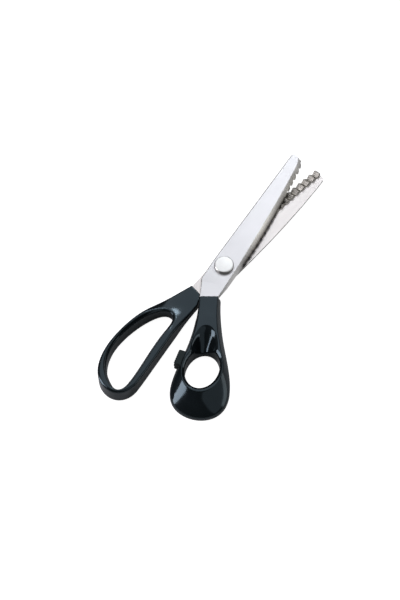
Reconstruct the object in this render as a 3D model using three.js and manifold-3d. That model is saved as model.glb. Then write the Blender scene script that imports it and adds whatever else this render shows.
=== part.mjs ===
// Pinking shears: two toothed steel blades on a pivot bolt, each with a moulded plastic handle.
// Units are millimetres. +Z is the pivot axis, +Y runs along the rear blade to its tip.
// The front (upper) blade and its handle are drawn closed and then opened by REST_OPENING.
import * as THREE from "three";
import * as BufferGeometryUtils from "three/addons/utils/BufferGeometryUtils.js";
import Module from "manifold-3d";

const wasm = await Module();
wasm.setup();

// Driving dimensions
const REST_OPENING = 8;
const REAR_BLADE_BOTTOM = 3;
const REAR_BLADE_TOP = 6.8;
const INTERFACE_Z = 7;
const FRONT_BLADE_BOTTOM = 7.4;
const FRONT_BLADE_TOP = 11.2;
const TOOTH_PITCH = 5.2;
const TOOTH_HEIGHT = 2.5;
const TOOTH_COUNT = 18;
const TOOTH_START_RADIUS = 10.6;
const TOOTH_CLEARANCE = 0.2;
const REAR_RECESS_FLOOR = 5.1;
const FRONT_RECESS_FLOOR = 8.9;
const REAR_HANDLE_HEIGHT = 13;
const FRONT_HANDLE_HEIGHT = 13.5;
const REAR_NECK_HEIGHT = 9;
const HALF_LAP_Z = 9.25;
const PART_GAP = 0.25;
const BOLT_HEAD_RADIUS = 6.4;
const BOLT_HEAD_TOP = 13.6;
const BOLT_RADIUS = 3.6;
const BOLT_FLAT = 2.8;
const THREAD_RADIUS = 2.6;
const NUT_ACROSS_FLATS = 10;
const NUT_HEIGHT = 2.2;
const PIN_RADIUS = 1.4;
const CURVE_STEPS = 12;
const ROUND_SEGMENTS = 40;

// Turns a closed triangle geometry into a manifold solid, facing outward.
function solidFrom(geometry) {
  let bare = geometry.index ? geometry.toNonIndexed() : geometry.clone();
  bare.deleteAttribute("normal");
  bare.deleteAttribute("uv");
  bare = BufferGeometryUtils.mergeVertices(bare, 1e-4);
  const positions = bare.attributes.position.array;
  const index = Array.from(bare.index.array);
  if (signedVolume(positions, index) < 0) {
    for (let i = 0; i < index.length; i += 3) {
      const swap = index[i];
      index[i] = index[i + 1];
      index[i + 1] = swap;
    }
  }
  const mesh = new wasm.Mesh({
    numProp: 3,
    vertProperties: Float32Array.from(positions),
    triVerts: Uint32Array.from(index),
  });
  return new wasm.Manifold(mesh);
}

function signedVolume(positions, index) {
  let volume = 0;
  for (let i = 0; i < index.length; i += 3) {
    const a = new THREE.Vector3().fromArray(positions, index[i] * 3);
    const b = new THREE.Vector3().fromArray(positions, index[i + 1] * 3);
    const c = new THREE.Vector3().fromArray(positions, index[i + 2] * 3);
    volume += a.dot(b.cross(c)) / 6;
  }
  return volume;
}

function geometryFrom(solid) {
  const mesh = solid.getMesh();
  const geometry = new THREE.BufferGeometry();
  geometry.setAttribute("position", new THREE.BufferAttribute(Float32Array.from(mesh.vertProperties), 3));
  geometry.setIndex(new THREE.BufferAttribute(Uint32Array.from(mesh.triVerts), 1));
  return geometry;
}

function polygon(points) {
  return new THREE.Shape(points.map(([x, y]) => new THREE.Vector2(x, y)));
}

// Straight prism over a closed outline, from z0 to z1.
function prism(shape, z0, z1) {
  const geometry = new THREE.ExtrudeGeometry(shape, {
    depth: z1 - z0,
    bevelEnabled: false,
    curveSegments: CURVE_STEPS,
  });
  geometry.translate(0, 0, z0);
  return solidFrom(geometry);
}

// Solid of revolution about the pivot axis from [radius, z] points.
function turned(profile, segments = ROUND_SEGMENTS) {
  const points = profile.map(([r, z]) => new THREE.Vector2(r, z));
  const geometry = new THREE.LatheGeometry(points, segments);
  geometry.rotateX(Math.PI / 2);
  return solidFrom(geometry);
}

function tube(innerRadius, outerRadius, z0, z1, segments = ROUND_SEGMENTS) {
  const lower = [[innerRadius, z0], [outerRadius, z0]];
  const upper = [[outerRadius, z1], [innerRadius, z1]];
  return turned([...lower, ...upper, lower[0]], segments);
}

function rod(radius, z0, z1, segments = ROUND_SEGMENTS) {
  return turned([[0, z0], [radius, z0], [radius, z1], [0, z1]], segments);
}

// Skin over rings of equal point count, capped flat at both ends.
function loft(rings) {
  const count = rings[0].points.length;
  const positions = [];
  for (const ring of rings) {
    for (const point of ring.points) positions.push(point.x, point.y, ring.z);
  }
  const index = [];
  for (let level = 0; level + 1 < rings.length; level += 1) {
    for (let i = 0; i < count; i += 1) {
      const next = (i + 1) % count;
      const a = level * count + i;
      const b = level * count + next;
      index.push(a, b, b + count, a, b + count, a + count);
    }
  }
  const bottom = THREE.ShapeUtils.triangulateShape(rings[0].points, []);
  for (const [a, b, c] of bottom) index.push(a, c, b);
  const last = (rings.length - 1) * count;
  const top = THREE.ShapeUtils.triangulateShape(rings[rings.length - 1].points, []);
  for (const [a, b, c] of top) index.push(last + a, last + b, last + c);
  const geometry = new THREE.BufferGeometry();
  geometry.setAttribute("position", new THREE.Float32BufferAttribute(positions, 3));
  geometry.setIndex(index);
  return solidFrom(geometry);
}

// Closed outline: start point, then [control, control, end] for a cubic curve or [end] for a line.
function curvedOutline(start, pieces) {
  const points = [];
  let from = new THREE.Vector2(...start);
  for (const piece of pieces) {
    const [first, second, to] = piece.map(([x, y]) => new THREE.Vector2(x, y));
    if (to) {
      const curve = new THREE.CubicBezierCurve(from, first, second, to);
      points.push(...curve.getPoints(CURVE_STEPS).slice(0, CURVE_STEPS));
      from = to;
    } else {
      points.push(from);
      from = first;
    }
  }
  if (THREE.ShapeUtils.area(points) < 0) points.reverse();
  return points;
}

// Moves every point of a counterclockwise outline inward by a distance.
function inset(points, distance) {
  return points.map((point, i) => {
    const before = points[(i + points.length - 1) % points.length];
    const after = points[(i + 1) % points.length];
    const along = after.clone().sub(before).normalize();
    return new THREE.Vector2(point.x - along.y * distance, point.y + along.x * distance);
  });
}

function blend(from, to, share) {
  return from.map((point, i) => point.clone().lerp(to[i], share));
}

// The half of the plan that holds the cutting edges, and the half that holds the tangs.
function cuttingHalf(z0, z1) {
  return prism(polygon([[-30, 6], [30, 6], [30, 120], [-30, 120]]), z0, z1);
}

function tangHalf(z0, z1) {
  return prism(polygon([[-30, -60], [30, -60], [30, 6], [-30, 6]]), z0, z1);
}

// Radial profile of the meshing teeth: a zigzag that both blades share.
function toothSurface(offset) {
  const mean = INTERFACE_Z + offset;
  const outer = TOOTH_START_RADIUS + TOOTH_COUNT * TOOTH_PITCH;
  const profile = [[0, -5], [outer + 20, -5], [outer + 20, mean]];
  for (let tooth = TOOTH_COUNT; tooth >= 0; tooth -= 1) {
    const valley = TOOTH_START_RADIUS + tooth * TOOTH_PITCH;
    profile.push([valley, mean - TOOTH_HEIGHT / 2]);
    if (tooth > 0) profile.push([valley - TOOTH_PITCH / 2, mean + TOOTH_HEIGHT / 2]);
  }
  profile.push([0, mean - TOOTH_HEIGHT / 2]);
  return turned(profile, 240);
}

// Front blade outline at the level of its edge (share 0) or of its top face (share 1).
function frontBladeOutline(share, backInset) {
  const mix = (low, high) => low + (high - low) * share;
  const shape = new THREE.Shape();
  shape.moveTo(8.9, -22.2);
  shape.lineTo(mix(9.9, 8.6), -12);
  shape.lineTo(mix(9.95, 7.9), 4);
  shape.bezierCurveTo(mix(10.3, 5.8), 34, mix(6.9, 4.2), 62, mix(3, 0.3), 94);
  shape.bezierCurveTo(mix(2.5, -0.3), 98, mix(1.4, -1.2), mix(104.2, 103.2), mix(-2.6, -4.6), mix(104.6, 103.4));
  shape.bezierCurveTo(mix(-6, -6.7), mix(104.5, 103.4), -7.6 + backInset, 103.4, -7.6 + backInset, 100);
  shape.lineTo(-8.4 + backInset, 0);
  shape.lineTo(-8 + backInset, -14.2);
  shape.quadraticCurveTo(-7.9 + backInset, -16.2, -6.6 + backInset, -18);
  shape.lineTo(-1, -28.3);
  return shape.getPoints(8);
}

function frontBlade() {
  const body = loft([
    { points: frontBladeOutline(0, 0), z: 5 },
    { points: frontBladeOutline(0, 0), z: 7.3 },
    { points: frontBladeOutline(0.45, 0), z: 8.9 },
    { points: frontBladeOutline(0.86, 0), z: 10.6 },
    { points: frontBladeOutline(1, 0.7), z: FRONT_BLADE_TOP },
  ]);
  const shankOutline = polygon([[2.9, -24.8], [8.1, -22.2], [16, -38.6], [10.8, -41.2]]);
  const shank = prism(shankOutline, FRONT_BLADE_BOTTOM, FRONT_BLADE_TOP);
  const stripOutline = polygon([[4, 6], [20, 6], [20, 110], [-0.9, 110], [-1.3, 97]]);
  const strip = prism(stripOutline, 0, FRONT_RECESS_FLOOR + 0.1);
  const ride = rod(TOOTH_START_RADIUS + 0.2, 0, FRONT_BLADE_BOTTOM, 96);
  const core = rod(TOOTH_START_RADIUS + 0.1, -10, 20, 96);
  const forward = cuttingHalf(0, FRONT_RECESS_FLOOR).subtract(core);
  const hollow = forward.subtract(strip);
  const belowTeeth = forward.intersect(toothSurface(TOOTH_CLEARANCE / 2));
  let blade = body.subtract(tangHalf(0, FRONT_BLADE_BOTTOM)).subtract(ride);
  blade = blade.subtract(hollow).subtract(belowTeeth);
  // Relief under the corner that passes over the rear neck as the shears close.
  const corner = polygon([[-12, -23.6], [3, -23.6], [3, -32], [-12, -32]]);
  blade = blade.subtract(prism(corner, 0, HALF_LAP_Z)).add(shank);
  blade = blade.subtract(rod(BOLT_RADIUS + 0.75, 0, 20));
  return blade.subtract(rod(PIN_RADIUS + 0.15, 0, 20, 20).translate(10.6, -34.2, 0));
}

function rearBladeOutline(lift) {
  const shape = new THREE.Shape();
  shape.moveTo(-7.6, -23.3);
  shape.lineTo(1, -25.1);
  shape.lineTo(7.2, -16.8);
  shape.quadraticCurveTo(8, -15, 8.2, -13);
  shape.lineTo(8.8, 10);
  shape.quadraticCurveTo(10, 60, 6.2, 99.8);
  shape.quadraticCurveTo(6, 102.2, 3.8, 102.5);
  shape.lineTo(-1.4 + lift * 1.2, 103);
  shape.quadraticCurveTo(-2.8 + lift * 1.2, 102.9, -2.9 + lift * 1.2, 100);
  shape.quadraticCurveTo(-7.6 + lift * 1.2, 70, -8.8 + lift * 0.6, 5);
  shape.lineTo(-8.2, -10);
  return shape.getPoints(10);
}

function rearBlade() {
  const body = loft([
    { points: inset(rearBladeOutline(1), 0.5), z: REAR_BLADE_BOTTOM },
    { points: rearBladeOutline(0.8), z: REAR_BLADE_BOTTOM + 0.8 },
    { points: rearBladeOutline(0), z: 9 },
  ]);
  const stripShape = new THREE.Shape();
  stripShape.moveTo(-30, 6);
  stripShape.lineTo(-3.4, 6);
  stripShape.quadraticCurveTo(-3, 62, 1.9, 100);
  stripShape.lineTo(2.2, 110);
  stripShape.lineTo(-30, 110);
  const strip = prism(stripShape, 0, 20);
  const core = rod(TOOTH_START_RADIUS - 0.1, -10, 20, 96);
  const aboveTang = tangHalf(REAR_BLADE_TOP, 20);
  const aboveCore = rod(TOOTH_START_RADIUS, REAR_BLADE_TOP, 20, 96);
  const hollow = cuttingHalf(REAR_RECESS_FLOOR, 20).subtract(strip).subtract(core);
  const aboveTeeth = cuttingHalf(0, 20).subtract(core).subtract(toothSurface(-TOOTH_CLEARANCE / 2));
  const shankOutline = polygon([[-6.6, -22.5], [-2.6, -22.5], [-3, -43], [-7.2, -43]]);
  let blade = body.subtract(aboveTang).subtract(aboveCore).subtract(hollow).subtract(aboveTeeth);
  blade = blade.add(prism(shankOutline, REAR_BLADE_BOTTOM, REAR_BLADE_TOP));
  blade = blade.subtract(doubleD(BOLT_RADIUS + 0.12, BOLT_FLAT + 0.12, 0, 20));
  return blade.subtract(rod(PIN_RADIUS + 0.15, 0, 20, 20).translate(-4.8, -36, 0));
}

// Round bar with two opposite flats, so that the bolt can't turn in the rear blade.
function doubleD(radius, flat, z0, z1) {
  const slab = prism(polygon([[-flat, -10], [flat, -10], [flat, 10], [-flat, 10]]), z0, z1);
  return rod(radius, z0, z1).intersect(slab);
}

// Plan outlines of the rear handle: a long loop for the fingers.
function rearHandleOutline() {
  return curvedOutline([-7.7, -23.7], [
    [[-10.5, -33.5], [-20.9, -59], [-20.5, -80]],
    [[-20.9, -99.5], [-13.5, -116.8], [0.8, -117]],
    [[8.4, -117.2], [13.8, -110.8], [13.2, -102.4]],
    [[12.2, -90], [5.2, -53], [4.6, -32.4]],
    [[1.5, -25.5]],
    [[-7.7, -23.7]],
  ]);
}

function fingerHoleOutline() {
  return curvedOutline([-4.2, -48.9], [
    [[-12, -48.5], [-17, -64], [-17.5, -80]],
    [[-18, -98], [-10, -108.6], [2.5, -112.6]],
    [[6.9, -113.6], [8.7, -109.8], [8.3, -105]],
    [[7.5, -93], [2.4, -76], [1.5, -61]],
    [[0.9, -53.5], [-0.3, -49.2], [-4.2, -48.9]],
  ]);
}

// Hole cutter that flares at both faces, so that the hole's edges come out rounded.
function holeCutter(outline, height, radius) {
  return loft([
    { points: inset(outline, -radius), z: -1 },
    { points: inset(outline, -radius), z: 0 },
    { points: inset(outline, -radius * 0.3), z: radius * 0.3 },
    { points: outline, z: radius },
    { points: outline, z: height - radius },
    { points: inset(outline, -radius * 0.3), z: height - radius * 0.3 },
    { points: inset(outline, -radius), z: height },
    { points: inset(outline, -radius), z: height + 1 },
  ]);
}

function rearHandle() {
  const outline = rearHandleOutline();
  const height = REAR_HANDLE_HEIGHT;
  let handle = loft([
    { points: inset(outline, 0.9), z: 0 },
    { points: inset(outline, 0.45), z: 0.25 },
    { points: inset(outline, 0.2), z: 0.8 },
    { points: outline, z: 1.8 },
    { points: outline, z: height - 1.5 },
    { points: inset(outline, 0.15), z: height - 0.7 },
    { points: inset(outline, 0.45), z: height - 0.2 },
    { points: inset(outline, 0.9), z: height },
  ]);
  handle = handle.subtract(holeCutter(fingerHoleOutline(), height, 0.5));
  // The neck is lower than the loop, with a smooth ramp between them.
  const ramp = new THREE.Shape();
  ramp.moveTo(-20, REAR_NECK_HEIGHT);
  ramp.lineTo(-36, REAR_NECK_HEIGHT);
  ramp.bezierCurveTo(-50, REAR_NECK_HEIGHT, -52, height, -68, height);
  ramp.lineTo(-68, height + 5);
  ramp.lineTo(-20, height + 5);
  handle = handle.subtract(prism(ramp, -30, 30).rotate([90, 0, 90]));
  const underside = new THREE.Shape();
  underside.moveTo(-20, 1.2);
  underside.lineTo(-44, 1.2);
  underside.bezierCurveTo(-52, 1.2, -54, 0, -62, 0);
  underside.lineTo(-62, -5);
  underside.lineTo(-20, -5);
  handle = handle.subtract(prism(underside, -30, 30).rotate([90, 0, 90]));
  const pocket = polygon([[-6.85, -20], [-2.35, -20], [-2.75, -43.3], [-7.45, -43.3]]);
  handle = handle.subtract(prism(pocket, REAR_BLADE_BOTTOM - PART_GAP, REAR_BLADE_TOP + PART_GAP));
  return handle.subtract(rod(PIN_RADIUS + 0.15, -1, 7.8, 20).translate(-4.8, -36, 0));
}

// Plan outlines of the front handle: the raised rim and the wider base below it.
function frontBaseOutline() {
  return curvedOutline([-1.6, -29], [
    [[4.3, -40.5], [9.1, -53.5], [11.6, -70]],
    [[13.2, -83.5], [15, -102.4], [32.6, -102.3]],
    [[42.6, -102.2], [52.4, -95], [52.5, -84.6]],
    [[52.5, -72.5], [40.2, -60.2], [29.2, -47.6]],
    [[23.9, -41.3], [16.1, -31], [10.8, -21.4]],
    [[-1.6, -29]],
  ]);
}

function frontRimOutline() {
  return curvedOutline([-0.7, -28.5], [
    [[6, -40.5], [12.2, -54], [13.6, -68]],
    [[15.5, -78.5], [20.5, -89], [29.5, -89.1]],
    [[36.5, -89.2], [41.6, -83.5], [41.7, -75.5]],
    [[41.8, -66], [33, -57], [25, -47.6]],
    [[20, -41.6], [13.6, -32], [9.2, -22.4]],
    [[-0.7, -28.5]],
  ]);
}

function thumbHoleOutline() {
  const points = [];
  const tilt = THREE.MathUtils.degToRad(13);
  for (let i = 0; i < 48; i += 1) {
    const angle = (i / 48) * Math.PI * 2;
    const across = 10.7 * Math.cos(angle);
    const along = 14.2 * Math.sin(angle);
    const x = 27.8 + across * Math.cos(tilt) - along * Math.sin(tilt);
    const y = -71.7 + across * Math.sin(tilt) + along * Math.cos(tilt);
    points.push(new THREE.Vector2(x, y));
  }
  return points;
}

function frontHandleBody() {
  const base = frontBaseOutline();
  const rim = frontRimOutline();
  const height = FRONT_HANDLE_HEIGHT;
  const rings = [
    { points: inset(base, 2), z: 0 },
    { points: inset(base, 1.1), z: 0.5 },
    { points: inset(base, 0.45), z: 1.4 },
    { points: inset(base, 0.1), z: 3 },
  ];
  for (const degrees of [90, 72, 54, 38, 24, 12]) {
    const angle = THREE.MathUtils.degToRad(degrees);
    rings.push({ points: blend(rim, base, Math.sin(angle)), z: 5 + (height - 5.4) * Math.cos(angle) });
  }
  rings.push({ points: inset(rim, 0.1), z: height - 0.1 });
  rings.push({ points: inset(rim, 0.5), z: height });
  return loft(rings);
}

// Scooped dish between the neck and the thumb hole.
function thumbDish() {
  const bowl = new THREE.SphereGeometry(1, 40, 24);
  bowl.scale(9.6, 18.1, 20.5);
  bowl.rotateZ(THREE.MathUtils.degToRad(24));
  bowl.translate(21.6, -59.4, 25);
  return solidFrom(bowl);
}

function frontHandle() {
  let handle = frontHandleBody();
  handle = handle.subtract(holeCutter(thumbHoleOutline(), FRONT_HANDLE_HEIGHT, 0.8));
  handle = handle.subtract(thumbDish());
  // The neck's underside slopes up towards the blade.
  const slope = polygon([[-20, -2], [-20, 5.4], [24, -2]]);
  const wedge = prism(slope, -40, 40).rotate([90, 0, 0]).rotate([0, 0, -63]);
  handle = handle.subtract(wedge.translate(5.2, -26.5, 0));
  // Half-lap over the rear neck.
  const lap = [[-12, -20], [0.2, -24], [1.6, -26], [4.5, -32], [5, -42], [5.5, -48], [-12, -48]];
  handle = handle.subtract(prism(polygon(lap), -5, HALF_LAP_Z));
  const pocket = polygon([[3.8, -23.4], [9.3, -20.8], [16.4, -38.5], [10.7, -41.6], [3.2, -26.2]]);
  handle = handle.subtract(prism(pocket, FRONT_BLADE_BOTTOM - PART_GAP, FRONT_BLADE_TOP + PART_GAP));
  handle = handle.subtract(rod(PIN_RADIUS + 0.15, -1, 12.4, 20).translate(10.6, -34.2, 0));
  return handle.subtract(bumperStem(0.2));
}

// Rubber bumper: a ribbed pad on the front handle's inner side with a stem in its wall.
function placeBumper(solid) {
  return solid.rotate([0, 0, 11.5]).translate(11.5, -72.4, 0);
}

function bumperStem(extra) {
  const half = 3.2 + extra;
  const reach = 2.9 + extra;
  const shape = polygon([[0, -half], [reach, -half], [reach, half], [0, half]]);
  return placeBumper(prism(shape, 4.5 - extra, 8.5 + extra));
}

function bumper() {
  const shape = new THREE.Shape();
  const ribs = 5;
  const half = 5.4;
  const step = (half * 2) / ribs;
  shape.moveTo(1.2, -half);
  shape.lineTo(1.2, half);
  for (let rib = 0; rib < ribs; rib += 1) {
    const y = half - rib * step;
    shape.lineTo(-2.1, y);
    shape.lineTo(-2.1, y - step * 0.62);
    if (rib + 1 < ribs) {
      shape.lineTo(-1.4, y - step * 0.62);
      shape.lineTo(-1.4, y - step);
    }
  }
  shape.lineTo(-2.1, -half);
  return placeBumper(prism(shape, 3, 11)).subtract(frontHandleBody()).add(bumperStem(0));
}

// Pivot hardware
function pivotBolt() {
  const head = [
    [0, 11.4], [3, 11.4], [3, 12.3], [5.4, 12.3], [5.4, 11.4], [BOLT_HEAD_RADIUS, 11.4],
    [BOLT_HEAD_RADIUS, BOLT_HEAD_TOP - 0.5], [BOLT_HEAD_RADIUS - 0.5, BOLT_HEAD_TOP], [0, BOLT_HEAD_TOP],
  ];
  const bearing = rod(BOLT_RADIUS, REAR_BLADE_TOP, 12.4);
  const shoulder = doubleD(BOLT_RADIUS, BOLT_FLAT, 2.9, REAR_BLADE_TOP + 0.05);
  const thread = turned([[0, 0], [THREAD_RADIUS - 0.4, 0], [THREAD_RADIUS, 0.4], [THREAD_RADIUS, 3], [0, 3]]);
  return turned(head).add(bearing).add(shoulder).add(thread);
}

function pivotNut() {
  const corners = [];
  const reach = NUT_ACROSS_FLATS / 2 / Math.cos(Math.PI / 6);
  for (let i = 0; i < 6; i += 1) {
    const angle = (i / 6) * Math.PI * 2;
    corners.push([reach * Math.cos(angle), reach * Math.sin(angle)]);
  }
  const chamfer = turned([[0, 0], [4.9, 0], [5.9, 0.6], [5.9, NUT_HEIGHT], [0, NUT_HEIGHT]]);
  return prism(polygon(corners), 0, NUT_HEIGHT).intersect(chamfer).subtract(rod(THREAD_RADIUS + 0.12, -1, 5));
}

// Wave spring washer under the bolt head: a ring whose thickness band rises and falls three times.
function waveWasher() {
  const section = [[3.9, -0.2], [5.1, -0.2], [5.1, 0.2], [3.9, 0.2], [3.9, -0.2]];
  const ring = new THREE.LatheGeometry(section.map(([r, z]) => new THREE.Vector2(r, z)), 48);
  ring.rotateX(Math.PI / 2);
  const position = ring.attributes.position;
  for (let i = 0; i < position.count; i += 1) {
    const angle = Math.atan2(position.getY(i), position.getX(i));
    position.setZ(i, position.getZ(i) + 11.75 + 0.25 * Math.cos(3 * angle));
  }
  return solidFrom(ring);
}

const MATERIALS = {
  blade: new THREE.MeshStandardMaterial({ color: 0xc9cbd3, metalness: 1, roughness: 0.25 }),
  hardware: new THREE.MeshStandardMaterial({ color: 0xb8bac0, metalness: 1, roughness: 0.3 }),
  brass: new THREE.MeshStandardMaterial({ color: 0xb08d4a, metalness: 1, roughness: 0.35 }),
  handle: new THREE.MeshStandardMaterial({ color: 0x15161a, metalness: 0, roughness: 0.25 }),
  rubber: new THREE.MeshStandardMaterial({ color: 0x0d0d0e, metalness: 0, roughness: 0.85 }),
};

const group = new THREE.Group();

function addNode(name, solid, material, moving) {
  const placed = moving ? solid.rotate([0, 0, REST_OPENING]) : solid;
  const mesh = new THREE.Mesh(geometryFrom(placed), MATERIALS[material]);
  mesh.name = name;
  group.add(mesh);
}

addNode("rear_blade", rearBlade(), "blade", false);
addNode("rear_handle", rearHandle(), "handle", false);
addNode("rear_tang_pin", rod(PIN_RADIUS, 1.6, 7.6, 20).translate(-4.8, -36, 0), "hardware", false);
addNode("pivot_bolt", pivotBolt(), "hardware", false);
addNode("pivot_nut", pivotNut(), "hardware", false);
addNode("lock_washer", tube(THREAD_RADIUS + 0.12, 4.6, NUT_HEIGHT + 0.05, 2.85), "hardware", false);
addNode("thrust_washer", tube(BOLT_RADIUS + 0.1, 8.2, REAR_BLADE_TOP + 0.05, 7.3), "brass", false);
addNode("wave_washer", waveWasher(), "hardware", false);
addNode("front_blade", frontBlade(), "blade", true);
addNode("front_handle", frontHandle(), "handle", true);
addNode("front_tang_pin", rod(PIN_RADIUS, 3.6, 12.2, 20).translate(10.6, -34.2, 0), "hardware", true);
addNode("pivot_bush", tube(BOLT_RADIUS + 0.08, BOLT_RADIUS + 0.65, 7.42, 11.2), "brass", true);
addNode("thumb_bumper", bumper(), "rubber", true);

export default group;
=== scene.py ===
"""Pinking shears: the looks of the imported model, with its studio and its camera."""
import math

import bmesh
import bpy
import numpy as np
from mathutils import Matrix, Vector


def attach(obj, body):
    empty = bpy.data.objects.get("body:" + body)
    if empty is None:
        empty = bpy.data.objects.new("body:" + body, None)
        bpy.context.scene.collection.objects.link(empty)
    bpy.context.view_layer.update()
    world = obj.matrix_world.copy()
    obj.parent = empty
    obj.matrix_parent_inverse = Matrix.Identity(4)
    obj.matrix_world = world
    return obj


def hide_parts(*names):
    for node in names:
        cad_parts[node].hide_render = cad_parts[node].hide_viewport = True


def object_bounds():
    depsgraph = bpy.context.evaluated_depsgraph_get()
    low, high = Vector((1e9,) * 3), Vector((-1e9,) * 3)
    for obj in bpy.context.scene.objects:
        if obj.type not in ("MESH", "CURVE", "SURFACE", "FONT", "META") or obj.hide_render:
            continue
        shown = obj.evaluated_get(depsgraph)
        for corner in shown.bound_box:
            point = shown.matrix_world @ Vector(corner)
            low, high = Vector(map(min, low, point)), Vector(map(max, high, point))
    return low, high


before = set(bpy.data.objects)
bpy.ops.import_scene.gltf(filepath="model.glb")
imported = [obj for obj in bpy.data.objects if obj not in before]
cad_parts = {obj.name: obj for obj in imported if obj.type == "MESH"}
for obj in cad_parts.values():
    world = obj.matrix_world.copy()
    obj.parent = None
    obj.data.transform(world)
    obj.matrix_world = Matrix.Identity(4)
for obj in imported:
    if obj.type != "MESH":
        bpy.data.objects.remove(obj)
cad_low, cad_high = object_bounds()

MM = 0.001
REST_OPENING = math.radians(8)  # the front half is drawn closed and turned this far open
HANDLE_STEP = 0.5  # grid spacing of the handle skins
BUMPER_STEP = 0.28  # grid spacing of the bumper's skin
SLOPE_STEP = 0.01  # step used for the slopes of the fields
OPEN_AIR = 20  # a height above every piece

# Outlines, in millimetres. A piece of one point is straight, of two or three is a Bezier curve.

REAR_HANDLE = [
    (-7.7, -23.7),
    [(-10.5, -33.5), (-20.9, -59), (-20.5, -80)],
    [(-20.9, -99.5), (-13.5, -116.8), (0.8, -117)],
    [(8.4, -117.2), (13.8, -110.8), (13.2, -102.4)],
    [(12.2, -90), (5.2, -53), (4.6, -32.4)],
    [(1.5, -25.5)],
    [(-7.7, -23.7)],
]
FINGER_HOLE = [
    (-4.2, -48.9),
    [(-12, -48.5), (-17, -64), (-17.5, -80)],
    [(-18, -98), (-10, -108.6), (2.5, -112.6)],
    [(6.9, -113.6), (8.7, -109.8), (8.3, -105)],
    [(7.5, -93), (2.4, -76), (1.5, -61)],
    [(0.9, -53.5), (-0.3, -49.2), (-4.2, -48.9)],
]
FRONT_BASE = [
    (-1.6, -29),
    [(4.3, -40.5), (9.1, -53.5), (11.6, -70)],
    [(13.2, -83.5), (15, -102.4), (32.6, -102.3)],
    [(42.6, -102.2), (52.4, -95), (52.5, -84.6)],
    [(52.5, -72.5), (40.2, -60.2), (29.2, -47.6)],
    [(23.9, -41.3), (16.1, -31), (10.8, -21.4)],
    [(-1.6, -29)],
]
FRONT_RIM = [
    (-0.7, -28.5),
    [(6, -40.5), (12.2, -54), (13.6, -68)],
    [(15.5, -78.5), (20.5, -89), (29.5, -89.1)],
    [(36.5, -89.2), (41.6, -83.5), (41.7, -75.5)],
    [(41.8, -66), (33, -57), (25, -47.6)],
    [(20, -41.6), (13.6, -32), (9.2, -22.4)],
    [(-0.7, -28.5)],
]

# Corners of the cuts for the tangs and for the lap of the front neck over the rear one.

REAR_TANG_POCKET = np.array([(-6.85, -20), (-2.35, -20), (-2.75, -43.3), (-7.45, -43.3)])
REAR_TANG_HEIGHTS = (2.75, 7.05)
FRONT_TANG_POCKET = np.array([(3.8, -23.4), (8.5, -21.2), (16.4, -38.5), (10.7, -41.6), (3.2, -26.2)])
FRONT_TANG_HEIGHTS = (7.15, 11.45)
NECK_LAP = np.array([(-12, -20), (0.2, -24), (1.6, -26), (4.5, -32), (5, -42), (5.5, -48), (-12, -48)])
NECK_LAP_TOP = 9.25

# Driving sizes of the handles and the bumper, in millimetres.

REAR_NECK_TOP = 9
REAR_LOOP_RISE = 4
REAR_NECK_BOTTOM = 1.2
REAR_LIP_DROP = 2.4
REAR_LIP_WIDTH = 2.2

FRONT_SHOULDER = 9.5
FRONT_ROUNDING = 3.6
FRONT_FALL = 4.5
FRONT_BULB_FALL = 1.4  # how much further the bulb falls than the neck
FRONT_NECK_BOTTOM = 2.0
FRONT_LIP_DROP = 1.5
FRONT_LIP_WIDTH = 2.6
FRONT_CROWN = 0.35
FRONT_NECK_END = (5.2, -26.5)
FRONT_NECK_HEADING = (0.454, -0.891)
THUMB_HOLE_CENTRE = (27.8, -71.7)
THUMB_HOLE_RADII = (10.7, 14.2)
THUMB_HOLE_TILT = math.radians(13)

DISH_CENTRE = (21.6, -59.4)
DISH_TILT = math.radians(24)
DISH_REACH = 14.7
DISH_TOP = 13.1
DISH_DEPTH = 8.5
DISH_END = -14
DISH_CURVE = 0.14
DISH_WIDENING = 0.045

BUMPER_CENTRE = (11.5, -72.4)
BUMPER_TILT = math.radians(11.5)
BUMPER_FACE = 2.5
BUMPER_ROOT = 3.4
BUMPER_HALF_LENGTH = 5.4
BUMPER_HEIGHTS = (3, 11)
RIB_PITCH = 1.54
RIB_LEAN = 0.35
GROOVE_DEPTH = 0.32

# Opposite corners of the grids that hold the skins.

BUMPER_BOX = ((8, -79, 2.4), (17, -65, 11.5))
REAR_HANDLE_BOX = ((-21.5, -117, 0.3), (14, -23.5, 13.5))
FRONT_HANDLE_BOX = ((-2, -103.5, 0.3), (53, -21, 14))


def trace(path, count=28):
    """Points along a closed outline."""
    points = [np.array(path[0], float)]
    for piece in path[1:]:
        ends = [points[-1]] + [np.array(p, float) for p in piece]
        degree = len(ends) - 1
        for share in np.linspace(0, 1, 2 if degree == 1 else count + 1)[1:]:
            terms = [math.comb(degree, i) * share**i * (1 - share) ** (degree - i) for i in range(degree + 1)]
            points.append(sum(term * end for term, end in zip(terms, ends)))
    return np.array(points[:-1])


def oval(centre, across, along, tilt, count=96):
    """Points around an ellipse."""
    turn = np.linspace(0, 2 * math.pi, count, endpoint=False)
    x, y = across * np.cos(turn), along * np.sin(turn)
    cosine, sine = math.cos(tilt), math.sin(tilt)
    return np.stack([centre[0] + cosine * x - sine * y, centre[1] + sine * x + cosine * y], 1)


def tilted_axes(x, y, centre, tilt):
    """Places across and along axes that are turned about a centre in the plan."""
    cosine, sine = math.cos(tilt), math.sin(tilt)
    from_x, from_y = x - centre[0], y - centre[1]
    return cosine * from_x + sine * from_y, -sine * from_x + cosine * from_y


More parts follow.
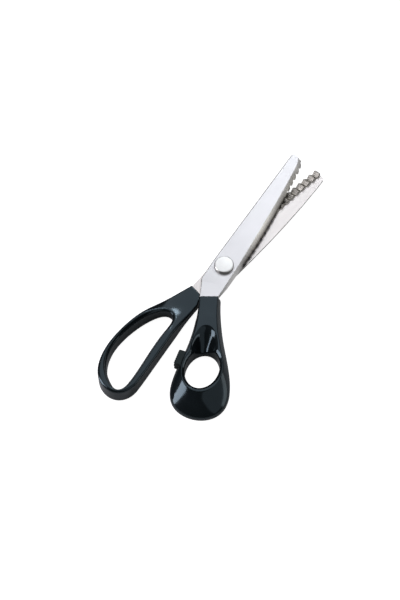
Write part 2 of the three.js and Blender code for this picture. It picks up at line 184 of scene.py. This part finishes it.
def distance(loop, x, y):
    """Signed distance in the plan from points to a closed outline, negative inside it."""
    best = np.full(x.shape, np.inf)
    inside = np.zeros(x.shape, bool)
    for (ax, ay), (bx, by) in zip(loop, np.roll(loop, -1, 0)):
        ux, uy = bx - ax, by - ay
        share = np.clip(((x - ax) * ux + (y - ay) * uy) / (ux * ux + uy * uy), 0, 1)
        best = np.minimum(best, (x - ax - share * ux) ** 2 + (y - ay - share * uy) ** 2)
        if uy != 0:
            inside ^= ((ay > y) != (by > y)) & (x < ux * (y - ay) / uy + ax)
    return np.where(inside, -1, 1) * np.sqrt(best)


def meet(a, b, radius):
    """The solid inside both fields, with a rounded edge where they cross."""
    round_part = np.hypot(np.maximum(a + radius, 0), np.maximum(b + radius, 0)) - radius
    return round_part + np.minimum(np.maximum(a, b) + radius, 0)


def smooth(share):
    """0 below 0, 1 above 1, and an even S between."""
    share = np.clip(share, 0, 1)
    return share * share * share * (10 - 15 * share + 6 * share * share)


def cut(body, plan, z, low, high):
    """A body's field without the upright prism over a plan field, from one height to another."""
    return np.maximum(body, -np.maximum(plan, np.maximum(low - z, z - high)))


# Handles and bumper: each is a field, negative inside the material, made from distances in the plan.


def rear_handle_plan(x, y):
    return {
        "outer": distance(trace(REAR_HANDLE), x, y),
        "hole": distance(trace(FINGER_HOLE), x, y),
        "pocket": distance(REAR_TANG_POCKET, x, y),
        "crown": (x + 3) ** 2 / 140,
        "shoulder": 0.3 * smooth((-27 - y) / 8),
        "ramp": smooth((-36 - y) / 32),
        "under": smooth((-44 - y) / 18),
    }


def rear_handle_field(plan, z):
    rise = REAR_LOOP_RISE * plan["ramp"]
    crown = plan["shoulder"] * np.maximum(1 + plan["outer"] / 5, 0) ** 2
    crest = REAR_NECK_TOP + rise - crown - plan["crown"] * (1 - plan["ramp"])
    lip = REAR_LIP_DROP * smooth(1 - plan["hole"] / REAR_LIP_WIDTH) * plan["ramp"]
    bottom = REAR_NECK_BOTTOM * (1 - plan["under"])
    wall = meet(plan["outer"], bottom - z, radius=1.2)
    body = meet(wall, z - crest, radius=0.8 + 0.8 * plan["ramp"])
    ring = meet(-plan["hole"], bottom - z, radius=0.8)
    slope = 1 / np.sqrt(1 + (plan["ramp"] * 1.6) ** 2)
    ring = meet(ring, (z - crest + lip) * slope, radius=0.55)
    body = meet(body, ring, radius=0.5)
    return cut(body, plan["pocket"], z, *REAR_TANG_HEIGHTS)


def thumb_dish(x, y):
    """Height of the scooped dish, and the length of its slope."""
    across, along = tilted_axes(x, y, DISH_CENTRE, DISH_TILT)
    climb = np.maximum(along / DISH_REACH, 0)
    towards_neck = DISH_CURVE - DISH_WIDENING * np.minimum(climb, 1)
    towards_hole = DISH_CURVE / np.maximum(1 - (along / DISH_REACH) ** 2, 0.02)
    curve = np.where(along > 0, towards_neck, towards_hole)
    height = DISH_TOP - DISH_DEPTH * (1 - climb**1.35) + np.minimum(curve * across * across, OPEN_AIR)
    slope = np.sqrt(1.4 + np.minimum(2 * curve * np.abs(across), 3) ** 2)
    return np.where(along > DISH_END, height, OPEN_AIR), slope


def front_handle_plan(x, y):
    base = distance(trace(FRONT_BASE), x, y)
    rim = distance(trace(FRONT_RIM), x, y)
    width = np.maximum(rim - base, 0.35)
    hole = oval(THUMB_HOLE_CENTRE, *THUMB_HOLE_RADII, THUMB_HOLE_TILT)
    neck_x, neck_y = x - FRONT_NECK_END[0], y - FRONT_NECK_END[1]
    neck = FRONT_NECK_HEADING[0] * neck_x + FRONT_NECK_HEADING[1] * neck_y
    dish, dish_slope = thumb_dish(x, y)
    return {
        "base": base,
        "width": width,
        "share": np.maximum(rim / width, 0),
        "hole": distance(hole, x, y),
        "dish": dish,
        "dish_slope": dish_slope,
        "crown": FRONT_CROWN * (1 - np.clip(1 + rim / 5, 0, 1) ** 2) * smooth((neck - 7) / 10),
        "neck": neck,
        "fall": FRONT_FALL + FRONT_BULB_FALL * smooth((-68 - y) / 20),
        "pocket": distance(FRONT_TANG_POCKET, x, y),
        "lap": distance(NECK_LAP, x, y),
    }


def front_handle_field(plan, z):
    share = np.clip(plan["share"], 0, 0.995)
    quarter = np.sqrt(1 - share * share)
    lip = FRONT_LIP_DROP * smooth(1 - plan["hole"] / FRONT_LIP_WIDTH)
    height = FRONT_SHOULDER - plan["fall"] * share + FRONT_ROUNDING * quarter + plan["crown"] - lip
    steep = (plan["fall"] + FRONT_ROUNDING * share / quarter) / plan["width"]
    side = meet(plan["base"], (z - height) / np.sqrt(1 + steep * steep), radius=0.3)
    bottom = FRONT_NECK_BOTTOM * (1 - smooth(plan["neck"] / 14))
    body = meet(side, bottom - z, radius=1.3)
    body = meet(body, (z - plan["dish"]) / plan["dish_slope"], radius=1.1)
    body = meet(body, -plan["hole"], radius=1.0)
    body = np.maximum(body, -np.maximum(plan["lap"], z - NECK_LAP_TOP))
    return cut(body, plan["pocket"], z, *FRONT_TANG_HEIGHTS)


def bumper_plan(x, y):
    across, along = tilted_axes(x, y, BUMPER_CENTRE, BUMPER_TILT)
    return {"across": across, "along": along}


def bumper_field(plan, z):
    across, along = plan["across"], plan["along"]
    low, high = BUMPER_HEIGHTS
    groove = GROOVE_DEPTH / 2 * (1 + np.cos(2 * math.pi * (along + RIB_LEAN * z) / RIB_PITCH))
    pad = meet(-across - BUMPER_FACE + groove, across - BUMPER_ROOT, radius=0.1)
    ends = meet(along - BUMPER_HALF_LENGTH, -along - BUMPER_HALF_LENGTH, radius=0.1)
    pad = meet(pad, ends, radius=1.1)
    return meet(pad, meet(low - z, z - high, radius=0.1), radius=0.9)


def surface(plan_of, field, low, high, step):
    """Vertices and quads of the skin where a field is zero, by surface nets on an even grid."""
    axes = [np.arange(low[i] - 1.5 * step, high[i] + 2 * step, step) for i in range(3)]
    across, along = np.meshgrid(axes[0], axes[1], indexing="ij")
    plan = {name: part[:, :, None] for name, part in plan_of(across, along).items()}
    value = field(plan, axes[2][None, None, :])
    shape = np.array(value.shape) - 1
    total = np.zeros(list(shape) + [3])
    hits = np.zeros(shape)
    crossings = []
    for axis in range(3):
        near = [slice(None)] * 3
        far = [slice(None)] * 3
        near[axis], far[axis] = slice(None, -1), slice(1, None)
        a, b = value[tuple(near)], value[tuple(far)]
        found = np.argwhere((a < 0) != (b < 0))
        start, end = a[tuple(found.T)], b[tuple(found.T)]
        place = found.astype(float)
        place[:, axis] += start / (start - end)
        sides = [(axis + 1) % 3, (axis + 2) % 3]
        cells = []
        for u, v in ((-1, -1), (0, -1), (0, 0), (-1, 0)):
            cell = found.copy()
            cell[:, sides[0]] += u
            cell[:, sides[1]] += v
            cells.append(cell)
            np.add.at(total, tuple(cell.T), place)
            np.add.at(hits, tuple(cell.T), 1)
        crossings.append((cells, start < 0))
    used = hits > 0
    number = np.full(shape, -1)
    number[used] = np.arange(used.sum())
    points = total[used] / hits[used][:, None] * step + np.array([axis[0] for axis in axes])
    quads = []
    for cells, outward in crossings:
        quad = np.stack([number[tuple(cell.T)] for cell in cells], 1)
        quads.append(np.where(outward[:, None], quad, quad[:, ::-1]))
    return settle(plan_of, field, points, step), np.concatenate(quads)


def slopes(plan_of, field, points):
    """The field and its slope at points."""
    x, y, z = points.T
    here = plan_of(x, y)
    value = field(here, z)
    change = [
        field(plan_of(x + SLOPE_STEP, y), z) - value,
        field(plan_of(x, y + SLOPE_STEP), z) - value,
        field(here, z + SLOPE_STEP) - value,
    ]
    return value, np.stack(change, 1) / SLOPE_STEP


def settle(plan_of, field, points, step):
    """Moves points onto the zero surface of the field, each time by no more than part of a step."""
    for _ in range(3):
        value, slope = slopes(plan_of, field, points)
        move = -value[:, None] * slope / np.maximum((slope**2).sum(1), 0.05)[:, None]
        size = np.linalg.norm(move, axis=1)[:, None]
        points = points + move * np.minimum(1, 0.6 * step / np.maximum(size, 1e-9))
    return points


def lathe(profile, count=96):
    """Points and faces of a solid turned about the pivot's axis, from radius and height pairs."""
    turn = np.linspace(0, 2 * math.pi, count, endpoint=False)
    inner = profile[1:-1]
    points = [(radius * math.cos(a), radius * math.sin(a), z) for radius, z in inner for a in turn]
    faces = []
    for ring in range(len(inner) - 1):
        for here in range(count):
            after = (here + 1) % count
            low, high = ring * count, (ring + 1) * count
            faces.append((low + here, low + after, high + after, high + here))
    points += [(0, 0, profile[0][1]), (0, 0, profile[-1][1])]
    last = (len(inner) - 1) * count
    for here in range(count):
        after = (here + 1) % count
        faces.append((len(points) - 2, after, here))
        faces.append((len(points) - 1, last + here, last + after))
    return np.array(points), faces


def arc(centre, radius, start, end, count):
    """Radius and height pairs along an arc, with angles in degrees from the outward direction."""
    angles = np.radians(np.linspace(start, end, count))
    return [(centre[0] + radius * math.cos(a), centre[1] + radius * math.sin(a)) for a in angles]


def turned(points, angle):
    """Points turned about the pivot's axis."""
    cosine, sine = math.cos(angle), math.sin(angle)
    return points @ np.array([[cosine, sine, 0], [-sine, cosine, 0], [0, 0, 1]])


def mesh_piece(name, points, faces, material, body, slot, *replaced):
    """A smooth shaded piece from points in millimetres, riding on a body."""
    corners = (np.asarray(points) * MM).tolist()
    mesh = bpy.data.meshes.new(name)
    mesh.from_pydata(corners, [], [tuple(int(i) for i in face) for face in faces])
    mesh.validate()
    mesh.update()
    mesh.polygons.foreach_set("use_smooth", np.ones(len(mesh.polygons), bool))
    piece = bpy.data.objects.new(name, mesh)
    bpy.context.scene.collection.objects.link(piece)
    mesh.materials.append(material)
    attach(piece, body)
    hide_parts(*replaced)
    return piece


# Sizes used on the copies of the solids, in metres.
MERGE_DISTANCE = 2e-6
EDGE_BREAK = 0.00008


def ground_copy(name, node, material, body):
    """A CAD node's shape as a new piece, with its flats rebuilt and its sharp edges broken."""
    shape = bmesh.new()
    shape.from_mesh(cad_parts[node].data)
    bmesh.ops.remove_doubles(shape, verts=shape.verts, dist=MERGE_DISTANCE)
    bmesh.ops.dissolve_limit(shape, angle_limit=math.radians(1.0), verts=shape.verts, edges=shape.edges)
    sharp = [edge for edge in shape.edges if edge.is_manifold and edge.calc_face_angle() > math.radians(20)]
    bmesh.ops.bevel(
        shape, geom=sharp, offset=EDGE_BREAK, segments=2, profile=0.6, affect="EDGES", clamp_overlap=False
    )
    bmesh.ops.remove_doubles(shape, verts=shape.verts, dist=MERGE_DISTANCE)
    bmesh.ops.triangulate(shape, faces=[face for face in shape.faces if len(face.verts) > 4])
    mesh = bpy.data.meshes.new(name)
    shape.to_mesh(mesh)
    shape.free()
    mesh.materials.clear()
    mesh.materials.append(material)
    mesh.shade_smooth()
    mesh.set_sharp_from_angle(angle=math.radians(10))
    piece = bpy.data.objects.new(name, mesh)
    bpy.context.scene.collection.objects.link(piece)
    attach(piece, body)
    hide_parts(node)


# Materials.


class Nodes:
    """Short calls to build one material."""

    def __init__(self, name):
        self.material = bpy.data.materials.new(name)
        self.material.use_nodes = True
        self.tree = self.material.node_tree
        self.shader = self.tree.nodes["Principled BSDF"]
        coordinates = self.tree.nodes.new("ShaderNodeTexCoord")
        self.place = coordinates.outputs["Object"]
        self.normal = coordinates.outputs["Normal"]

    def add(self, kind, **inputs):
        node = self.tree.nodes.new(kind)
        for name, value in inputs.items():
            socket = node.inputs[name.replace("_", " ")]
            if isinstance(value, bpy.types.NodeSocket):
                self.tree.links.new(value, socket)
            else:
                socket.default_value = value
        return node

    def link(self, output, name):
        self.tree.links.new(output, self.shader.inputs[name])

    def settings(self, **values):
        for name, value in values.items():
            self.shader.inputs[name.replace("_", " ")].default_value = value

    def stretched(self, x, y, z, turn=0.0):
        """Object coordinates scaled along each axis."""
        node = self.add("ShaderNodeMapping", Vector=self.place)
        node.inputs["Scale"].default_value = (x, y, z)
        node.inputs["Rotation"].default_value = (0, 0, turn)
        return node.outputs["Vector"]

    def noise(self, vector, scale, detail, roughness=0.5):
        node = self.add("ShaderNodeTexNoise", Vector=vector, Scale=scale, Detail=detail, Roughness=roughness)
        return node.outputs["Fac"]

    def split(self, vector):
        """The X, Y and Z of a vector."""
        return self.add("ShaderNodeSeparateXYZ", Vector=vector).outputs

    def ramp(self, factor, low, high, dark, light):
        """A value or colour that goes from dark to light as the factor goes from low to high."""
        node = self.add("ShaderNodeValToRGB", Fac=factor)
        node.color_ramp.elements[0].position = low
        node.color_ramp.elements[1].position = high
        node.color_ramp.elements[0].color = colour(dark)
        node.color_ramp.elements[1].color = colour(light)
        return node.outputs["Color"]

    def mix(self, factor, first, second):
        node = self.tree.nodes.new("ShaderNodeMix")
        node.data_type = "RGBA"
        self.tree.links.new(factor, node.inputs[0])
        self.tree.links.new(first, node.inputs[6])
        self.tree.links.new(second, node.inputs[7])
        return node.outputs[2]

    def bump(self, height, depth, strength):
        node = self.add("ShaderNodeBump", Height=height, Distance=depth, Strength=strength)
        self.link(node.outputs["Normal"], "Normal")


def colour(value):
    return (value, value, value, 1.0) if isinstance(value, (int, float)) else (*value, 1.0)


def dimmed(share, tint):
    return tuple(share * part for part in tint)


def plastic(name):
    """Glossy black plastic with a cool sheen, uneven gloss and a little grain."""
    make = Nodes(name)
    swirls = make.noise(make.stretched(1, 1, 1), 160, 4, 0.6)
    make.link(make.ramp(swirls, 0.35, 0.75, 0.10, 0.19), "Roughness")
    cloud = make.noise(make.stretched(1, 1, 1), 60, 2)
    tint = make.ramp(cloud, 0.3, 0.7, (0.004, 0.0055, 0.006), (0.008, 0.011, 0.013))
    make.link(tint, "Base Color")
    grain = make.noise(make.stretched(1, 1, 1), 900, 2)
    make.bump(grain, depth=0.00001, strength=0.2)
    make.settings(IOR=1.54, Specular_Tint=(0.66, 0.86, 1.0, 1.0))
    return make.material


# Places on the blades, in metres: the height where the steel's finish changes from strip to teeth, then the
# places along the blade where the painted shade on the front teeth starts and where it fades out towards the
# tip.
STRIP_FOOT = (0.0087, 0.0090)
TOOTH_PAINTED_SHADE_START = (0.002, 0.012)
TOOTH_PAINTED_SHADE_END = (0.066, 0.082)


def steel(name, flat_tint, strip_light, tooth_dark, tooth_light):
    """Nickelled steel: the flats satin along the blade, the slanted faces ground across it. Along the middle
    of the blade the teeth take tooth_dark; on the front blade that is painted shade, near black, for the
    shaded gap between the blades, fading back to the steel's own tone towards the tip.
    """
    make = Nodes(name)
    make.settings(Metallic=1.0)
    flat = make.ramp(make.split(make.normal)["Z"], 0.93, 0.985, 0.0, 1.0)
    along = make.noise(make.stretched(1, 0.03, 1), 2600, 3, 0.6)
    across = make.noise(make.stretched(0.06, 1, 0.3, 0.5), 1700, 3, 0.6)
    cloud = make.noise(make.stretched(1, 0.5, 1), 45, 3)
    place = make.split(make.place)
    bevel = make.ramp(place["Z"], *STRIP_FOOT, 0.0, 1.0)
    satin = make.ramp(cloud, 0.3, 0.7, flat_tint, dimmed(1.07, flat_tint))
    strip = make.ramp(across, 0.35, 0.7, dimmed(0.92, strip_light), strip_light)
    # Painted shade: along the blade the teeth turn to tooth_dark, which on the front blade is near black for
    # the gap between the blades that lies in shade.
    reach = make.ramp(place["Y"], *TOOTH_PAINTED_SHADE_START, strip_light, tooth_dark)
    tip_teeth_tone = make.ramp(across, 0.35, 0.7, dimmed(0.8, tooth_light), tooth_light)
    # Towards the tip the painted shade fades back into the teeth's own steel tone.
    teeth = make.mix(make.ramp(place["Y"], *TOOTH_PAINTED_SHADE_END, 0.0, 1.0), reach, tip_teeth_tone)
    make.link(make.mix(flat, make.mix(bevel, teeth, strip), satin), "Base Color")
    satin_gloss = make.ramp(along, 0.3, 0.75, 0.4, 0.48)
    strip_gloss = make.ramp(across, 0.3, 0.75, 0.22, 0.32)
    teeth_gloss = make.ramp(across, 0.3, 0.75, 0.25, 0.33)
    make.link(make.mix(flat, make.mix(bevel, teeth_gloss, strip_gloss), satin_gloss), "Roughness")
    make.bump(make.mix(flat, across, along), depth=0.00002, strength=0.1)
    return make.material


def hardware_steel(name):
    """Turned steel of the bolt, nut and pins, with painted light: faces that look up are painted brighter,
    and the sides are painted darker as shade.
    """
    make = Nodes(name)
    make.settings(Metallic=1.0)
    cloud = make.noise(make.stretched(1, 1, 1), 260, 4)
    # Painted light and shade: the steel's colour goes from a shaded tone on the sides to a lit tone on faces
    # that look up.
    face = make.ramp(make.split(make.normal)["Z"], 0.3, 0.75, 0.0, 1.0)
    painted_lit_steel = make.ramp(cloud, 0.3, 0.7, (0.77, 0.77, 0.765), (0.83, 0.83, 0.82))
    painted_shaded_steel = make.ramp(cloud, 0.3, 0.7, (0.30, 0.29, 0.28), (0.42, 0.41, 0.39))
    make.link(make.mix(face, painted_shaded_steel, painted_lit_steel), "Base Color")
    make.link(make.ramp(cloud, 0.3, 0.7, 0.3, 0.4), "Roughness")
    return make.material


def brass(name):
    """Plain bearing brass, slightly dulled."""
    make = Nodes(name)
    make.settings(Metallic=1.0)
    cloud = make.noise(make.stretched(1, 1, 1), 400, 4)
    make.link(make.ramp(cloud, 0.3, 0.7, (0.55, 0.38, 0.14), (0.75, 0.55, 0.25)), "Base Color")
    make.link(make.ramp(cloud, 0.3, 0.7, 0.25, 0.4), "Roughness")
    return make.material


def rubber(name):
    """Matt black rubber with a fine pebble."""
    make = Nodes(name)
    grain = make.noise(make.stretched(1, 1, 1), 1500, 3)
    make.link(make.ramp(grain, 0.3, 0.7, 0.42, 0.6), "Roughness")
    make.link(make.ramp(grain, 0.3, 0.7, (0.006, 0.007, 0.007), (0.014, 0.015, 0.015)), "Base Color")
    make.bump(grain, depth=0.00004, strength=0.4)
    make.settings(IOR=1.42, Specular_Tint=(0.7, 0.92, 0.96, 1.0))
    return make.material


PLASTIC = plastic("glossy_black_plastic")
FRONT_STEEL = steel(
    "front_blade_steel",
    flat_tint=(0.75, 0.745, 0.765),
    strip_light=(0.99, 0.97, 0.94),
    # Painted shade: near-black teeth along the middle of the front blade, for the shaded gap under its edge.
    tooth_dark=(0.05, 0.045, 0.04),
    tooth_light=(0.7, 0.68, 0.64),
)
REAR_STEEL = steel(
    "rear_blade_steel",
    flat_tint=(0.755, 0.72, 0.71),
    strip_light=(0.8, 0.76, 0.7),
    tooth_dark=(0.5, 0.48, 0.44),
    tooth_light=(0.5, 0.48, 0.44),
)
HARDWARE = hardware_steel("turned_steel")
BRASS = brass("bearing_brass")
RUBBER = rubber("black_rubber")


def repaint(node, material):
    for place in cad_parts[node].material_slots:
        place.material = material


ground_copy("front_blade_ground", "front_blade", FRONT_STEEL, "front_half")
ground_copy("rear_blade_ground", "rear_blade", REAR_STEEL, "rear_half")
ground_copy("pivot_nut_dressed", "pivot_nut", HARDWARE, "rear_half")
ground_copy("lock_washer_dressed", "lock_washer", HARDWARE, "rear_half")
ground_copy("rear_tang_pin_dressed", "rear_tang_pin", HARDWARE, "rear_half")
ground_copy("front_tang_pin_dressed", "front_tang_pin", HARDWARE, "front_half")
ground_copy("thrust_washer_dressed", "thrust_washer", BRASS, "rear_half")
ground_copy("pivot_bush_dressed", "pivot_bush", BRASS, "front_half")
repaint("wave_washer", HARDWARE)

# The bolt's profile, as radius and height pairs: the shank from its lower end, then the head's
# lower corner, its rolled edge and its shallow dome.
shank = [(0, 0.15), (1.9, 0.15), (2.3, 0.2), (2.58, 0.5), (2.58, 2.95), (3.58, 2.95), (3.58, 11.42)]
corner = arc((6.15, 11.65), 0.25, -90, 0, 5)
rolled_edge = arc((5.6, 12.68), 0.8, 0, 80, 8)
dome = arc((0, -100), 113.6, 87.3, 90, 8)
points, faces = lathe(shank + corner + rolled_edge + dome)
bolt = mesh_piece("pivot_bolt_turned", points, faces, HARDWARE, "rear_half", "hardware", "pivot_bolt")
bolt.data.set_sharp_from_angle(angle=math.radians(35))

points, quads = surface(bumper_plan, bumper_field, *BUMPER_BOX, BUMPER_STEP)
points = turned(points, REST_OPENING)
mesh_piece("thumb_bumper_pad", points, quads, RUBBER, "front_half", "rubber", "thumb_bumper")

points, quads = surface(rear_handle_plan, rear_handle_field, *REAR_HANDLE_BOX, HANDLE_STEP)
mesh_piece("rear_handle_shell", points, quads, PLASTIC, "rear_half", "handle", "rear_handle")
points, quads = surface(front_handle_plan, front_handle_field, *FRONT_HANDLE_BOX, HANDLE_STEP)
points = turned(points, REST_OPENING)
mesh_piece("front_handle_shell", points, quads, PLASTIC, "front_half", "handle", "front_handle")


# Studio: a pale floor, large soft lights and the camera. Lengths are in metres.

FLOOR_REACH = 8.0
FLOOR_GAP = 0.0001  # between the floor and the lowest piece
LIT_POINT = Vector((0.005, -0.01, 0))
CAMERA_PLACE = (0.27460, -0.35186, 0.73885)
CAMERA_TILT = math.radians(30)
CAMERA_TURN = math.radians(40)
SENSOR_WIDTH = 36
FOCAL_LENGTH = 77.63


def studio_floor():
    mesh = bpy.data.meshes.new("floor")
    corners = [(x * FLOOR_REACH, y * FLOOR_REACH, 0) for x, y in ((-1, -1), (1, -1), (1, 1), (-1, 1))]
    mesh.from_pydata(corners, [], [(0, 1, 2, 3)])
    floor = bpy.data.objects.new("floor", mesh)
    floor.location.z = cad_low.z - FLOOR_GAP
    bpy.context.scene.collection.objects.link(floor)
    make = Nodes("pale_floor")
    make.settings(Roughness=0.9, Specular_IOR_Level=0.1)
    make.settings(Emission_Color=(1, 1, 1, 1), Base_Color=(0.6, 0.605, 0.61, 1))
    path = make.add("ShaderNodeLightPath")
    glow = make.add("ShaderNodeMapRange", Value=path.outputs["Is Camera Ray"])
    glow.inputs["To Min"].default_value = 0.03
    glow.inputs["To Max"].default_value = 0.94
    make.link(glow.outputs["Result"], "Emission Strength")
    mesh.materials.append(make.material)


def studio_world():
    world = bpy.data.worlds.new("studio")
    bpy.context.scene.world = world
    world.use_nodes = True
    sky = world.node_tree.nodes["Background"]
    path = world.node_tree.nodes.new("ShaderNodeLightPath")
    level = world.node_tree.nodes.new("ShaderNodeMapRange")
    level.inputs["To Min"].default_value = 0.06
    level.inputs["To Max"].default_value = 0.95
    world.node_tree.links.new(path.outputs["Is Camera Ray"], level.inputs["Value"])
    world.node_tree.links.new(level.outputs["Result"], sky.inputs["Strength"])
    sky.inputs["Color"].default_value = (0.98, 0.99, 1.0, 1)


def camera():
    lens = bpy.data.cameras.new("camera")
    view = bpy.data.objects.new("camera", lens)
    bpy.context.scene.collection.objects.link(view)
    view.location = CAMERA_PLACE
    view.rotation_euler = (CAMERA_TILT, 0, CAMERA_TURN)
    lens.sensor_width = SENSOR_WIDTH
    lens.lens = FOCAL_LENGTH
    bpy.context.scene.camera = view
    bpy.context.scene.view_settings.view_transform = "Standard"


def soft_light(name, azimuth, elevation, reach, width, height, radiance, tint):
    """A rectangular soft light of even brightness, seen from the shears in one direction."""
    light = bpy.data.lights.new(name, "AREA")
    light.shape = "RECTANGLE"
    light.size, light.size_y = width, height
    light.energy = radiance * math.pi * width * height
    light.color = tint
    lamp = bpy.data.objects.new(name, light)
    bpy.context.scene.collection.objects.link(lamp)
    turn, rise = math.radians(azimuth), math.radians(elevation)
    heading = Vector((math.cos(turn) * math.cos(rise), math.sin(turn) * math.cos(rise), math.sin(rise)))
    lamp.location = heading * reach
    lamp.rotation_euler = (LIT_POINT - lamp.location).to_track_quat("-Z", "Y").to_euler()
    lamp.visible_camera = False


studio_floor()
studio_world()
camera()

# Azimuth and elevation in degrees, distance, width and height, brightness and tint.
soft_light("overhead", 128, 58, 1.2, 1.15, 1.15, 1.05, (0.95, 0.97, 1.0))
soft_light("spark", 119, 47, 1.0, 0.09, 0.09, 16.0, (0.93, 0.96, 1.0))
soft_light("left_strip", -134, 26, 1.1, 0.42, 1.0, 6.6, (0.97, 0.95, 0.99))
soft_light("right_top", 12, 45, 1.2, 1.2, 1.3, 0.36, (0.95, 0.98, 1.0))
soft_light("right_side", 37, 12, 1.2, 0.8, 0.42, 1.5, (1.0, 0.99, 0.96))
